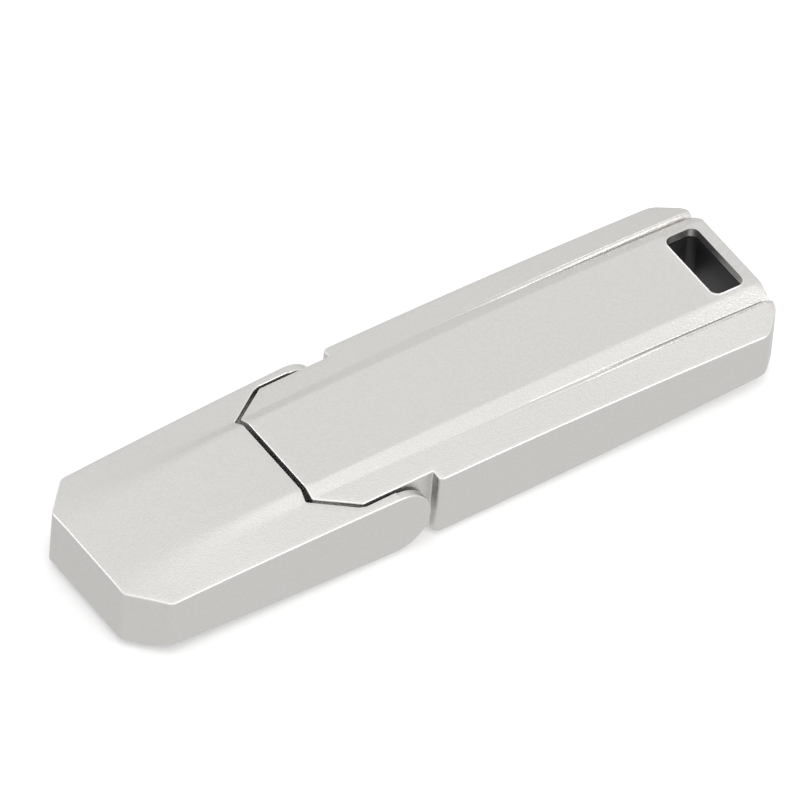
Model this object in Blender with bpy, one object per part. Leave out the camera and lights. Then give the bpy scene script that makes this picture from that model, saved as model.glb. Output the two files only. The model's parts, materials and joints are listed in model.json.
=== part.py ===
"""Swing-cap USB flash drive: a lens-shaped metal body with a capped USB-A plug.

Metres, +Z up. +X points to the end with the lanyard slot, -X to the free end of the
cap. The drive rests on the flat pad of its bottom cover at z = 0. The cap hinges on
an axis along Y inside its two rounded cheeks and swings up off the plug.
"""
import math

import bmesh
import bpy

MM = 0.001

# overall shape, in millimetres from the mid-plane of the drive
REST = 3.75              # height of the mid-plane above the resting pad
END_X = 33.5             # slot end of the body
CAP_END_X = -33.5        # free end of the cap
SHOULDER_X = -3.3        # plane where the body widens behind the cheeks
TONGUE_TIP_X = -14.2     # tip of the tongue that lies in the notch of the cap
TONGUE_CORNER_X = -10.55
BODY_HALF = 9.0
TONGUE_HALF = 7.9
TONGUE_TIP_HALF = 5.45
END_CHAMFER_X = 2.2
END_CHAMFER_Y = 2.1
TIP_SLANT = 0.52         # how an inset moves the slanted corners at the tongue
END_SLANT = 0.42         # the same at the chamfers of the slot end
SIDE_PEAK = 3.27         # half height of the side wall at its tallest
SIDE_SAG = 0.00082
SIDE_PEAK_X = -0.9
WALL = 0.9
ROOF_WALL = 0.8

# roof: flat centre, sloping strips, valleys and outer bands
PLATEAU_PEAK = 4.4
PLATEAU_SAG = 0.00049
PLATEAU_HALF = 4.4
CAP_SAG = 0.00336
VALLEY_Y = 5.8
VALLEY_NARROWS = 0.32
VALLEY_FULL_X = 7.0
FOLLOW_END_Y = 8.0
RIDGE_RUN = 0.25
VALLEY_RISE = 0.6
RIDGE_RISE = 0.42
RIDGE_START_X = 8.0
BELLY_RISE = 0.5
BELLY_HALF = 5.8
EDGE_ROUND = 0.12        # rounding between roof and side wall
EDGE_TUCK = 0.035
EDGE_LIFT = 0.03
ROOF_EDGE_KEEP = 0.3     # the roof grid stops this far inside the side wall
CREASE_SOFT = 0.12       # half width over which a crease is rounded
CAP_CREASE_SOFT = 1.1    # extra softness at the free end of the cap
CREASE_SAMPLES = 3

# cap
CAP_HALF_HINGE = 9.1
CAP_HALF_END = 8.5
CAP_CHAMFER_X = 2.95
CAP_CHAMFER_Y = 3.0
CHEEK_INNER = 8.2
CAVITY_SLANT = 0.45      # how an inset moves the chamfer corners of the cap
CAVITY_WIDE_X = -29.5    # where the cap cavity reaches its full width
CAVITY_CHEEK_X = -10.85  # where the cavity runs out between the cheeks
NOTCH_GAP = 0.42
NOTCH_DRAFT = 0.3
NOTCH_TIP_SIDE_GAP = -0.06
NOTCH_CORNER_GAP = 0.12
NOTCH_SIDE_GAP = 0.16
NOTCH_CORNER = 0.25
NOTCH_LOW_Z = 1.0
NOTCH_TOP_Z = 6.0
CAP_LINER_END_X = -16.6
CAP_LINER_SKIRT_Z = -1.6
CAP_LINER_HALF = 6.6
CAP_LINER_GLUE = 0.07
CAP_LINER_SIDE_GAP = 0.08
CAP_LINER_THICK = 0.4

# hinge
HINGE_X = -7.35
HINGE_Z = 0.0
CHEEK_RADIUS = 3.24
PIN_RADIUS = 1.0
BORE_CLEARANCE = 0.05
PIN_INNER_Y = 7.15
PIN_OUTER_Y = 8.6
WASHER_RADIUS = 2.1
WASHER_GAP = 0.05
PIN_BORE_START_Y = 6.5   # inner end of the bores through the tongue walls
PIN_BORE_END_Y = 8.1
CAP_BORE_START_Y = 7.9   # blind bores in the cheeks
CAP_BORE_END_Y = 8.65
CHEEK_STEP = 0.6
ARC_STEPS = 32

# lanyard slot
SLOT_X0 = 28.9
SLOT_X1 = 32.25
SLOT_HALF = 3.9
SLOT_RADIUS = 0.8
SLOT_LINER_WALL = 0.35
SLOT_LINER_GAP = 0.06    # height gap to the roof and to the cover
SLOT_LINER_LAP = 0.02    # the liner stands this far into the opening

# USB-A plug
PLUG_TIP_X = -31.2
PLUG_BACK_X = -12.6
PLUG_WIDTH = 12.0
PLUG_HEIGHT = 4.5
PLUG_WALL = 0.3
PLUG_Z = -0.9
PLUG_CLEAR = 0.1
PLUG_CORNER = 0.5
PLUG_WINDOW_DEEP = 3.2   # length of the opening through the tongue wall
PLUG_ROOM_LOW_Z = -3.25
LATCH_YS = (-3.1, 3.1)   # the latch windows, two above and two below
LATCH_X = (5.2, 7.4)
LATCH_HALF = 1.25
LATCH_REACH = 3.0
BLOCK_START = 0.4
BLOCK_END = 0.3
BLOCK_HALF = 5.55
BLOCK_HEIGHT = 1.8
BLOCK_GAP = 0.05
TRACK_START = 1.5
TRACK_HALF = 0.6
TRACK_DEPTH = 0.2
CONTACT_YS = (-3.5, -1.0, 1.0, 3.5)
CONTACT_STARTS = (1.7, 2.7, 2.7, 1.7)
CONTACT_HALF = 0.5
CONTACT_END = 0.5
CONTACT_LIFT = 0.04
CONTACT_THICK = 0.2
COLLAR_HALF = 4.7
COLLAR_GAP = 0.06
COLLAR_END_X = -11.4
COLLAR_TOP_Z = 2.7

# inside
COVER_GAP = 0.1
COVER_THICK = 0.8
INNER_GAP = 0.2          # board and carrier stand this far inside the walls
BOARD_X = (-11.9, 26.8)
BOARD_HALF = 6.3
BOARD_TOP = -0.75
BOARD_THICK = 0.8
SOLDER_GAP = 0.06
CARRIER_X = (-12.0, 27.6)
CARRIER_HALF = 6.75
CARRIER_Z = (-2.1, -1.65)
CARRIER_POCKET = ((-7.4, -5.0), (22.8, 5.0))
CARRIER_PLUG_ROOM = ((-13.0, -6.2), (-11.2, 6.2))
PAD_X = (3.4, 13.6)
PAD_HALF = 4.0
PAD_Z = (0.37, 2.65)

# chips on the board: centre x, length, width, height
CONTROLLER = (-2.5, 5.0, 5.0, 0.8)
FLASH_CHIPS = ((8.5, 11.0, 8.5, 1.0), (20.6, 7.0, 8.5, 0.9))
CRYSTAL = (-7.4, 1.6, 3.2, 0.7)
CAPACITOR_SIZE = (1.0, 0.6, 0.5)
CAPACITOR_SPOTS = ((-6.8, -3.6), (-6.8, 3.6), (1.6, -5.0), (1.6, 5.0))

# cover screws
SCREW_SPOTS = ((-9.2, -5.2), (-9.2, 5.2), (24.6, -5.2), (24.6, 5.2))
SCREW_HEAD = (1.12, 0.05, 0.42)      # radius, then lowest and highest point above the cover
SCREW_SHANK = (0.5, 0.3, -1.75)      # radius, start above the cover, end above the mid-plane
HEAD_BORE = (1.2, 0.45)
SHANK_BORE = (0.7, 2.0)
PILOT_RADIUS = 0.56
BOARD_HOLE_RADIUS = 0.95
CROSS_LONG = 0.7
CROSS_WIDE = 0.12
CROSS_DEPTH = 0.25

# drawing aids
PLAN_MARGIN = 0.01       # a trimming outline passes this far outside a finished face
REACH = 7.0              # cutters run this far past the mid-plane
PAST = 1.0               # cutters run this far past a face they open
OUTSIDE_Y = 12.0
BODY_STATIONS = 30
CAP_STATIONS = 26
INNER_STATIONS = 20
SMOOTH_ANGLE = 25.0

ALUMINIUM = (0.80, 0.80, 0.79)
STEEL = (0.62, 0.63, 0.65)
BLACK = (0.02, 0.02, 0.022)
BOARD_GREEN = (0.02, 0.16, 0.09)
GOLD = (0.83, 0.62, 0.25)
BLUE = (0.03, 0.10, 0.45)
CERAMIC = (0.45, 0.34, 0.22)
GREY = (0.35, 0.36, 0.37)


def clear_scene():
    for item in list(bpy.data.objects):
        bpy.data.objects.remove(item, do_unlink=True)


def material(name, colour, metallic, roughness):
    made = bpy.data.materials.new(name)
    made.use_nodes = True
    shader = made.node_tree.nodes["Principled BSDF"]
    shader.inputs["Base Color"].default_value = (*colour, 1.0)
    shader.inputs["Metallic"].default_value = metallic
    shader.inputs["Roughness"].default_value = roughness
    return made


def to_world(point):
    return (point[0] * MM, point[1] * MM, (point[2] + REST) * MM)


def mesh_object(name, points, faces):
    """Closed mesh from points in millimetres about the mid-plane."""
    mesh = bpy.data.meshes.new(name)
    mesh.from_pydata([to_world(point) for point in points], [], faces)
    work = bmesh.new()
    work.from_mesh(mesh)
    bmesh.ops.recalc_face_normals(work, faces=work.faces)
    work.to_mesh(mesh)
    work.free()
    made = bpy.data.objects.new(name, mesh)
    bpy.context.scene.collection.objects.link(made)
    return made


def loft(name, rings):
    """Closed solid through equal rings of points, with both ends capped."""
    count = len(rings[0])
    points = [point for ring in rings for point in ring]
    faces = []
    for row in range(len(rings) - 1):
        for i in range(count):
            j = (i + 1) % count
            a = row * count
            b = a + count
            faces.append((a + i, a + j, b + j, b + i))
    faces.append(tuple(range(count)))
    faces.append(tuple(range(len(points) - count, len(points))))
    return mesh_object(name, points, faces)


def prism(name, outline, low, high, draft=0.0):
    """Upright prism over an XY outline; draft moves its foot along -X."""
    foot = [(x - draft, y, low) for x, y in outline]
    head = [(x, y, high) for x, y in outline]
    return loft(name, [foot, head])


def side_prism(name, outline, half):
    """Prism along Y over an XZ outline."""
    return loft(name, [[(x, -half, z) for x, z in outline],
                       [(x, half, z) for x, z in outline]])


def box(name, low, high):
    outline = [(low[0], low[1]), (high[0], low[1]), (high[0], high[1]), (low[0], high[1])]
    return prism(name, outline, low[2], high[2])


def circle(radius, steps, phase=0.0):
    return [(radius * math.cos(phase + 2 * math.pi * i / steps),
             radius * math.sin(phase + 2 * math.pi * i / steps)) for i in range(steps)]


def rod_y(name, centre, radius, y_low, y_high, steps=32):
    rings = [[(centre[0] + a, y, centre[1] + b) for a, b in circle(radius, steps)]
             for y in (y_low, y_high)]
    return loft(name, rings)


def rod_z(name, centre, radius, low, high, steps=24):
    rings = [[(centre[0] + a, centre[1] + b, z) for a, b in circle(radius, steps)]
             for z in (low, high)]
    return loft(name, rings)


def rounded_outline(x_low, x_high, y_half, radius, steps=6):
    outline = []
    for cx, cy, start in ((x_high - radius, y_half - radius, 0.0),
                          (x_low + radius, y_half - radius, 0.5 * math.pi),
                          (x_low + radius, -y_half + radius, math.pi),
                          (x_high - radius, -y_half + radius, 1.5 * math.pi)):
        for i in range(steps + 1):
            angle = start + 0.5 * math.pi * i / steps
            outline.append((cx + radius * math.cos(angle), cy + radius * math.sin(angle)))
    return outline


def apply_boolean(target, cutter, operation):
    modifier = target.modifiers.new(operation.lower(), "BOOLEAN")
    modifier.operation = operation
    modifier.solver = "EXACT"
    modifier.object = cutter
    view = bpy.context.evaluated_depsgraph_get()
    result = bpy.data.meshes.new_from_object(target.evaluated_get(view))
    target.modifiers.clear()
    old = target.data
    target.data = result
    result.name = target.name
    bpy.data.meshes.remove(old)
    tool_mesh = cutter.data
    bpy.data.objects.remove(cutter, do_unlink=True)
    bpy.data.meshes.remove(tool_mesh)


def cut(target, *cutters):
    for cutter in cutters:
        apply_boolean(target, cutter, "DIFFERENCE")


def keep_inside(target, cutter):
    apply_boolean(target, cutter, "INTERSECT")


def join(target, *others):
    for other in others:
        apply_boolean(target, other, "UNION")


def blend(value, low, high):
    """Smooth step from 0 at low to 1 at high."""
    t = min(1.0, max(0.0, (value - low) / (high - low)))
    return t * t * (3.0 - 2.0 * t)


def side_height(x):
    return SIDE_PEAK - SIDE_SAG * (x - SIDE_PEAK_X) ** 2


def plateau_height(x):
    if x >= TONGUE_TIP_X:
        return PLATEAU_PEAK - PLATEAU_SAG * x * x
    run = TONGUE_TIP_X - x
    start = PLATEAU_PEAK - PLATEAU_SAG * TONGUE_TIP_X ** 2
    slope = -2.0 * PLATEAU_SAG * TONGUE_TIP_X
    return start - slope * run - CAP_SAG * run * run


def fade_to_free_end(x):
    """1 at the notch, 0 at the free end of the cap."""
    return 1.0 - blend(TONGUE_TIP_X - x, 0.0, TONGUE_TIP_X - CAP_END_X)


def valley_y(x):
    """The strips are narrow on the tongue and widen towards the slot."""
    return VALLEY_Y - VALLEY_NARROWS * (1.0 - blend(x, TONGUE_TIP_X, VALLEY_FULL_X))


def follow(x, y):
    """Moves a grid line so that it keeps to the valley at this station."""
    shift = valley_y(x) - VALLEY_Y
    if y <= VALLEY_Y:
        return y + shift * max(0.0, y - PLATEAU_HALF) / (VALLEY_Y - PLATEAU_HALF)
    return y + shift * max(0.0, FOLLOW_END_Y - y) / (FOLLOW_END_Y - VALLEY_Y)


def roof_points(x, half):
    """Straight-line section of the roof, as (y, height) from the centre outwards."""
    edge = side_height(x)
    top = plateau_height(x)
    valley_at = valley_y(x)
    ridge_at = valley_at + RIDGE_RUN
    plain = edge + (top - edge) * (half - valley_at) / (half - PLATEAU_HALF)
    creased = edge + VALLEY_RISE
    valley = plain + (creased - plain) * fade_to_free_end(x)
    ridge_fall = (valley - edge) * RIDGE_RUN / (half - valley_at)
    ridge = valley - ridge_fall + RIDGE_RISE * blend(x, RIDGE_START_X, END_X)
    return ((0.0, top), (PLATEAU_HALF, top), (valley_at, valley), (ridge_at, ridge), (half, edge))


def on_line(points, y):
    for (y0, z0), (y1, z1) in zip(points, points[1:]):
        if y <= y1:
            return z0 + (z1 - z0) * (y - y0) / (y1 - y0)
    return points[-1][1]


def roof_height(x, y, half):
    """Roof height with its creases rounded, more softly towards the cap's free end."""
    points = roof_points(x, half)
    soft = CREASE_SOFT + CAP_CREASE_SOFT * (1.0 - fade_to_free_end(x))
    soft = min(soft, max(0.0, half - abs(y)))
    steps = range(-CREASE_SAMPLES, CREASE_SAMPLES + 1)
    samples = [on_line(points, abs(abs(y) + soft * k / CREASE_SAMPLES)) for k in steps]
    return sum(samples) / len(samples)


def belly_height(x, y, half):
    """Depth of the underside below the mid-plane, flat where the drive rests."""
    rise = BELLY_RISE * min(1.0, (half - abs(y)) / (half - BELLY_HALF))
    return min(REST, side_height(x) + rise)


FINE_Y = (0.0, 2.2, 3.6, 4.1, 4.3, 4.45, 4.6, 5.0, 5.4, 5.65, 5.75, 5.85, 5.95, 6.05,
          6.2, 6.6, 7.2, 8.0)
COARSE_Y = (0.0, 4.4, 5.8)
CAVITY_HALF = 9.6


def section(x, half, grid):
    """Closed ring at one station: near edge, roof, far edge, underside."""
    ys = [follow(x, y) for y in grid if y < half - ROOF_EDGE_KEEP]
    top = [(x, y, roof_height(x, y, half)) for y in [-y for y in reversed(ys)] + ys[1:]]
    edge = side_height(x)
    far = [(x, half - EDGE_ROUND, edge + EDGE_LIFT), (x, half - EDGE_TUCK, edge - EDGE_TUCK),
           (x, half, edge - EDGE_ROUND)]
    near = [(px, -py, pz) for px, py, pz in reversed(far)]
    base = [(x, y, -belly_height(x, y, half)) for y in (half, BELLY_HALF, 0.0, -BELLY_HALF, -half)]
    return near + top + far + base


def cavity_section(x, drop):
    """Ring of an inner volume: roof lowered by drop, open far below the drive."""
    ys = [-y for y in reversed(COARSE_Y)] + list(COARSE_Y[1:])
    half = CAVITY_HALF
    top = [(x, y, roof_height(x, y, half) - drop) for y in [-half] + ys + [half]]
    return top + [(x, y, PAST - REACH) for y in (half, BELLY_HALF, 0.0, -BELLY_HALF, -half)]


def stations(low, high, count):
    return [low + (high - low) * i / (count - 1) for i in range(count)]


def with_mirror(half):
    """Whole outline from its +Y half."""
    return half + [(x, -y) for x, y in reversed(half)]


def body_plan(inset=0.0):
    """Outline of the body and its tongue, seen from above."""
    slant = inset * TIP_SLANT
    end_slant = inset * END_SLANT
    half = [(TONGUE_TIP_X + inset, TONGUE_TIP_HALF - slant),
            (TONGUE_CORNER_X + slant, TONGUE_HALF - inset),
            (SHOULDER_X + inset, TONGUE_HALF - inset),
            (SHOULDER_X + inset, BODY_HALF - inset),
            (END_X - END_CHAMFER_X - end_slant, BODY_HALF - inset),
            (END_X - inset, BODY_HALF - END_CHAMFER_Y - end_slant)]
    return with_mirror(half)


def cap_half(x):
    share = (x - CAP_END_X) / (HINGE_X - CAP_END_X)
    return CAP_HALF_END + (CAP_HALF_HINGE - CAP_HALF_END) * min(1.0, share)


def cap_plan():
    """Outline that trims the two chamfers of the cap and clears its sides."""
    corner_x = CAP_END_X + CAP_CHAMFER_X
    return with_mirror([(CAP_END_X, CAP_HALF_END - CAP_CHAMFER_Y),
                        (corner_x, cap_half(corner_x) + PLAN_MARGIN),
                        (SHOULDER_X + PAST, CAP_HALF_HINGE + PLAN_MARGIN)])


def cap_cavity_plan(inset):
    """Outline of the room inside the cap, open between the cheeks."""
    slant = inset * CAVITY_SLANT
    return with_mirror([(CAP_END_X + inset, CAP_HALF_END - CAP_CHAMFER_Y - slant),
                        (CAP_END_X + CAP_CHAMFER_X + slant, cap_half(CAVITY_WIDE_X) - inset),
                        (CAVITY_CHEEK_X, CHEEK_INNER),
                        (SHOULDER_X + 2 * PAST, CHEEK_INNER)])


def cavity(name, x_low, x_high, plan, drop):
    """Inner volume under the roof, cut to a plan outline and open downwards."""
    made = loft(name, [cavity_section(x, drop) for x in stations(x_low, x_high, INNER_STATIONS)])
    keep_inside(made, prism(name + "_plan", plan, -REACH, REACH))
    return made


def slot_outline(grow=0.0):
    return rounded_outline(SLOT_X0 - grow, SLOT_X1 + grow, SLOT_HALF + grow,
                           SLOT_RADIUS + max(0.0, grow))


def bore_pair(target, start, end):
    """Hinge bores through both sides of a shell, from start to end along Y."""
    for side in (-1, 1):
        low, high = sorted((side * start, side * end))
        cut(target, rod_y("bore", (HINGE_X, HINGE_Z), PIN_RADIUS + BORE_CLEARANCE, low, high))


def make_body_shell():
    rings = [section(x, BODY_HALF, FINE_Y) for x in stations(TONGUE_TIP_X, END_X, BODY_STATIONS)]
    shell = loft("body_shell", rings)
    keep_inside(shell, prism("plan", body_plan(), -REACH, REACH))
    cut(shell, cavity("inside", TONGUE_TIP_X - PAST, END_X + PAST, body_plan(WALL), ROOF_WALL))
    cut(shell, prism("slot", slot_outline(), 0.0, REACH))
    half_w = PLUG_WIDTH / 2 + PLUG_CLEAR
    half_h = PLUG_HEIGHT / 2 + PLUG_CLEAR
    cut(shell, box("window", (TONGUE_TIP_X - PAST, -half_w, PLUG_Z - half_h),
                   (TONGUE_TIP_X + PLUG_WINDOW_DEEP, half_w, PLUG_Z + half_h)))
    bore_pair(shell, PIN_BORE_START_Y, PIN_BORE_END_Y)
    return shell


def cover_section(x):
    ys = (-BODY_HALF, -BELLY_HALF, 0.0, BELLY_HALF, BODY_HALF)
    low = [(x, y, -belly_height(x, y, BODY_HALF)) for y in ys]
    return low + [(x, y, z + COVER_THICK) for x, y, z in reversed(low)]


def make_bottom_cover():
    rings = [cover_section(x) for x in stations(TONGUE_TIP_X, END_X, INNER_STATIONS)]
    cover = loft("bottom_cover", rings)
    keep_inside(cover, prism("plan", body_plan(WALL + COVER_GAP), -REACH, REACH))
    cut(cover, prism("slot", slot_outline(), -REACH, 0.0))
    half_w = PLUG_WIDTH / 2 + PLUG_CLEAR
    cut(cover, box("plug_room", (TONGUE_TIP_X, -half_w, PLUG_ROOM_LOW_Z),
                   (PLUG_BACK_X + PLUG_CLEAR, half_w, 0.0)))
    for spot in SCREW_SPOTS:
        floor = -belly_height(*spot, BODY_HALF)
        for radius, top in (HEAD_BORE, SHANK_BORE):
            cut(cover, rod_z("screw_bore", spot, radius, floor - PAST, floor + top))
    return cover


def notch_cutter():
    """Clearance around the tongue, wider below so that the cap can swing up."""
    lean = NOTCH_DRAFT * (NOTCH_TOP_Z - PLATEAU_PEAK)
    corner_x = TONGUE_CORNER_X - NOTCH_CORNER_GAP + lean
    outline = with_mirror([
        (TONGUE_TIP_X - NOTCH_GAP + lean, TONGUE_TIP_HALF + NOTCH_TIP_SIDE_GAP),
        (corner_x, CHEEK_INNER - NOTCH_SIDE_GAP),
        (corner_x + NOTCH_CORNER, CHEEK_INNER),
        (SHOULDER_X + 2 * PAST, CHEEK_INNER)])
    return prism("notch", outline, NOTCH_LOW_Z, NOTCH_TOP_Z,
                 NOTCH_DRAFT * (NOTCH_TOP_Z - NOTCH_LOW_Z))


def cheek_profile():
    """Side view of the cap: long body ending in the round of the cheeks."""
    arc = [(HINGE_X + CHEEK_RADIUS * math.sin(math.pi * i / ARC_STEPS),
            HINGE_Z + CHEEK_RADIUS * math.cos(math.pi * i / ARC_STEPS))
           for i in range(ARC_STEPS + 1)]
    back = HINGE_X - CHEEK_STEP
    start = CAP_END_X - PAST
    head = [(start, REACH), (back, REACH), (back, CHEEK_RADIUS + CHEEK_STEP / 3)]
    return head + arc + [(back, -REACH), (start, -REACH)]


def make_cap_shell():
    rings = [section(x, cap_half(x), FINE_Y)
             for x in stations(CAP_END_X, SHOULDER_X, CAP_STATIONS)]
    shell = loft("cap_shell", rings)
    keep_inside(shell, prism("plan", cap_plan(), -REACH, REACH))
    keep_inside(shell, side_prism("profile", cheek_profile(), OUTSIDE_Y))
    cut(shell, cavity("inside", CAP_END_X - PAST, SHOULDER_X + 2 * PAST, cap_cavity_plan(WALL),
                      ROOF_WALL))
    cut(shell, notch_cutter())
    bore_pair(shell, CAP_BORE_START_Y, CAP_BORE_END_Y)
    return shell


def make_cap_liner():
    """Plastic channel glued under the roof of the cap, over the plug."""
    plan = cap_cavity_plan(WALL + CAP_LINER_SIDE_GAP)
    drop = ROOF_WALL + CAP_LINER_GLUE
    past_end = CAP_END_X - PAST
    liner = cavity("cap_liner", CAP_END_X, CAP_LINER_END_X, plan, drop)
    cut(liner, box("skirt", (past_end, -OUTSIDE_Y, -REACH - PAST),
                   (0.0, OUTSIDE_Y, CAP_LINER_SKIRT_Z)))
    hollow = cavity("hollow", past_end, TONGUE_TIP_X, cap_cavity_plan(WALL),
                    drop + CAP_LINER_THICK)
    keep_inside(hollow, box("narrow", (past_end, -CAP_LINER_HALF, -REACH - PAST),
                            (TONGUE_TIP_X, CAP_LINER_HALF, REACH)))
    cut(liner, hollow)
    return liner


def make_slot_liner():
    beyond = SLOT_X1 + PAST
    low = -belly_height(beyond, 0.0, BODY_HALF) + COVER_THICK + SLOT_LINER_GAP
    high = plateau_height(beyond) - ROOF_WALL - SLOT_LINER_GAP
    liner = prism("slot_liner", slot_outline(SLOT_LINER_WALL), low, high)
    cut(liner, prism("bore", slot_outline(-SLOT_LINER_LAP), -REACH, REACH))
    return liner


def plug_ring(x, trim):
    half_h = PLUG_HEIGHT / 2 - trim
    half_w = PLUG_WIDTH / 2 - trim
    outline = rounded_outline(-half_w, half_w, half_h, PLUG_CORNER - trim, 4)
    return [(x, a, PLUG_Z + b) for a, b in outline]


def make_plug_shell():
    shell = loft("usb_shell", [plug_ring(PLUG_TIP_X, 0.0), plug_ring(PLUG_BACK_X, 0.0)])
    cut(shell, loft("bore", [plug_ring(PLUG_TIP_X - PAST, PLUG_WALL),
                             plug_ring(PLUG_BACK_X + PAST, PLUG_WALL)]))
    for y in LATCH_YS:
        for low, high in ((0.0, LATCH_REACH), (-LATCH_REACH, 0.0)):
            cut(shell, box("latch", (PLUG_TIP_X + LATCH_X[0], y - LATCH_HALF, PLUG_Z + low),
                           (PLUG_TIP_X + LATCH_X[1], y + LATCH_HALF, PLUG_Z + high)))
    return shell


def make_core_carrier():
    carrier = box("core_carrier", (CARRIER_X[0], -CARRIER_HALF, CARRIER_Z[0]),
                  (CARRIER_X[1], CARRIER_HALF, CARRIER_Z[1]))
    keep_inside(carrier, prism("plan", body_plan(WALL + INNER_GAP), -REACH, REACH))
    for low, high in (CARRIER_POCKET, CARRIER_PLUG_ROOM):
        cut(carrier, box("room", (*low, -REACH), (*high, 0.0)))
    for spot in SCREW_SPOTS:
        cut(carrier, rod_z("pilot", spot, PILOT_RADIUS, -REACH, 0.0))
    return carrier


def make_plug_collar():
    return box("plug_collar", (TONGUE_TIP_X + WALL + COLLAR_GAP, -COLLAR_HALF,
                               PLUG_Z + PLUG_HEIGHT / 2 + BLOCK_GAP),
               (COLLAR_END_X, COLLAR_HALF, COLLAR_TOP_Z))


def make_insulator(track_floor):
    low = track_floor + TRACK_DEPTH - BLOCK_HEIGHT
    block = box("usb_insulator", (PLUG_TIP_X + BLOCK_START, -BLOCK_HALF, low),
                (PLUG_BACK_X - BLOCK_END, BLOCK_HALF, low + BLOCK_HEIGHT))
    for y in CONTACT_YS:
        cut(block, box("track", (PLUG_TIP_X + TRACK_START, y - TRACK_HALF, track_floor),
                       (PLUG_BACK_X, y + TRACK_HALF, REACH)))
    return block


def make_contacts(track_floor, paint):
    low = track_floor + CONTACT_LIFT
    made = []
    for i, (y, start) in enumerate(zip(CONTACT_YS, CONTACT_STARTS), start=1):
        made.append(painted(box("usb_contact_%d" % i, (PLUG_TIP_X + start, y - CONTACT_HALF, low),
                                (PLUG_BACK_X - CONTACT_END, y + CONTACT_HALF,
                                 low + CONTACT_THICK)), paint))
    return made


def make_pin(name, side):
    low, high = sorted((side * PIN_INNER_Y, side * PIN_OUTER_Y))
    return rod_y(name, (HINGE_X, HINGE_Z), PIN_RADIUS, low, high)


def make_washer(name, side):
    low, high = sorted((side * (TONGUE_HALF + WASHER_GAP), side * (CHEEK_INNER - WASHER_GAP)))
    washer = rod_y(name, (HINGE_X, HINGE_Z), WASHER_RADIUS, low, high)
    cut(washer, rod_y("hole", (HINGE_X, HINGE_Z), PIN_RADIUS + BORE_CLEARANCE,
                      low - PAST, high + PAST))
    return washer


def make_screw(name, spot):
    x, y = spot
    floor = -belly_height(x, y, BODY_HALF)
    radius, low, high = SCREW_HEAD
    screw = rod_z(name, spot, radius, floor + low, floor + high)
    radius, start, end = SCREW_SHANK
    join(screw, rod_z("shank", spot, radius, floor + start, end))
    for wide, deep in ((CROSS_LONG, CROSS_WIDE), (CROSS_WIDE, CROSS_LONG)):
        cut(screw, box("cross", (x - wide, y - deep, floor - PAST),
                       (x + wide, y + deep, floor + CROSS_DEPTH)))
    return screw


def painted(made, paint):
    made.data.materials.clear()
    made.data.materials.append(paint)
    return made


def named(made, name):
    made.name = name
    made.data.name = name
    return made


def chip(name, spot, size, paint):
    """Block soldered to the board: centre, then (length, width, height)."""
    low = BOARD_TOP + SOLDER_GAP
    (x, y), (length, width, height) = spot, size
    return painted(box(name, (x - length / 2, y - width / 2, low),
                       (x + length / 2, y + width / 2, low + height)), paint)


def make_board():
    board = box("circuit_board", (BOARD_X[0], -BOARD_HALF, BOARD_TOP - BOARD_THICK),
                (BOARD_X[1], BOARD_HALF, BOARD_TOP))
    keep_inside(board, prism("plan", body_plan(WALL + INNER_GAP), -REACH, REACH))
    for spot in SCREW_SPOTS:
        cut(board, rod_z("hole", spot, BOARD_HOLE_RADIUS, -REACH, REACH))
    return board


def make_board_parts():
    epoxy = material("chip_epoxy", BLACK, 0.0, 0.55)
    can = material("crystal_can", STEEL, 1.0, 0.3)
    ceramic = material("capacitor", CERAMIC, 0.0, 0.5)
    parts = [painted(make_board(), material("circuit_board", BOARD_GREEN, 0.0, 0.45)),
             chip("controller_chip", (CONTROLLER[0], 0.0), CONTROLLER[1:], epoxy),
             chip("crystal", (CRYSTAL[0], 0.0), CRYSTAL[1:], can)]
    for i, (x, *size) in enumerate(FLASH_CHIPS, start=1):
        parts.append(chip("flash_chip_%d" % i, (x, 0.0), size, epoxy))
    for i, spot in enumerate(CAPACITOR_SPOTS, start=1):
        parts.append(chip("capacitor_%d" % i, spot, CAPACITOR_SIZE, ceramic))
    pad = box("thermal_pad", (PAD_X[0], -PAD_HALF, PAD_Z[0]), (PAD_X[1], PAD_HALF, PAD_Z[1]))
    parts.append(painted(pad, material("thermal_pad", GREY, 0.0, 0.9)))
    return parts


def hinge_empty():
    pivot = bpy.data.objects.new("cap_pivot", None)
    pivot.location = to_world((HINGE_X, 0.0, HINGE_Z))
    bpy.context.scene.collection.objects.link(pivot)
    bpy.context.view_layer.update()
    return pivot


def hang_on(pivot, made):
    made.parent = pivot
    made.matrix_parent_inverse = pivot.matrix_world.inverted()


def shade(made, angle):
    for face in made.data.polygons:
        face.use_smooth = True
    work = bmesh.new()
    work.from_mesh(made.data)
    for edge in work.edges:
        edge.smooth = edge.is_manifold and edge.calc_face_angle(0.0) < angle
    work.to_mesh(made.data)
    work.free()


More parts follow.
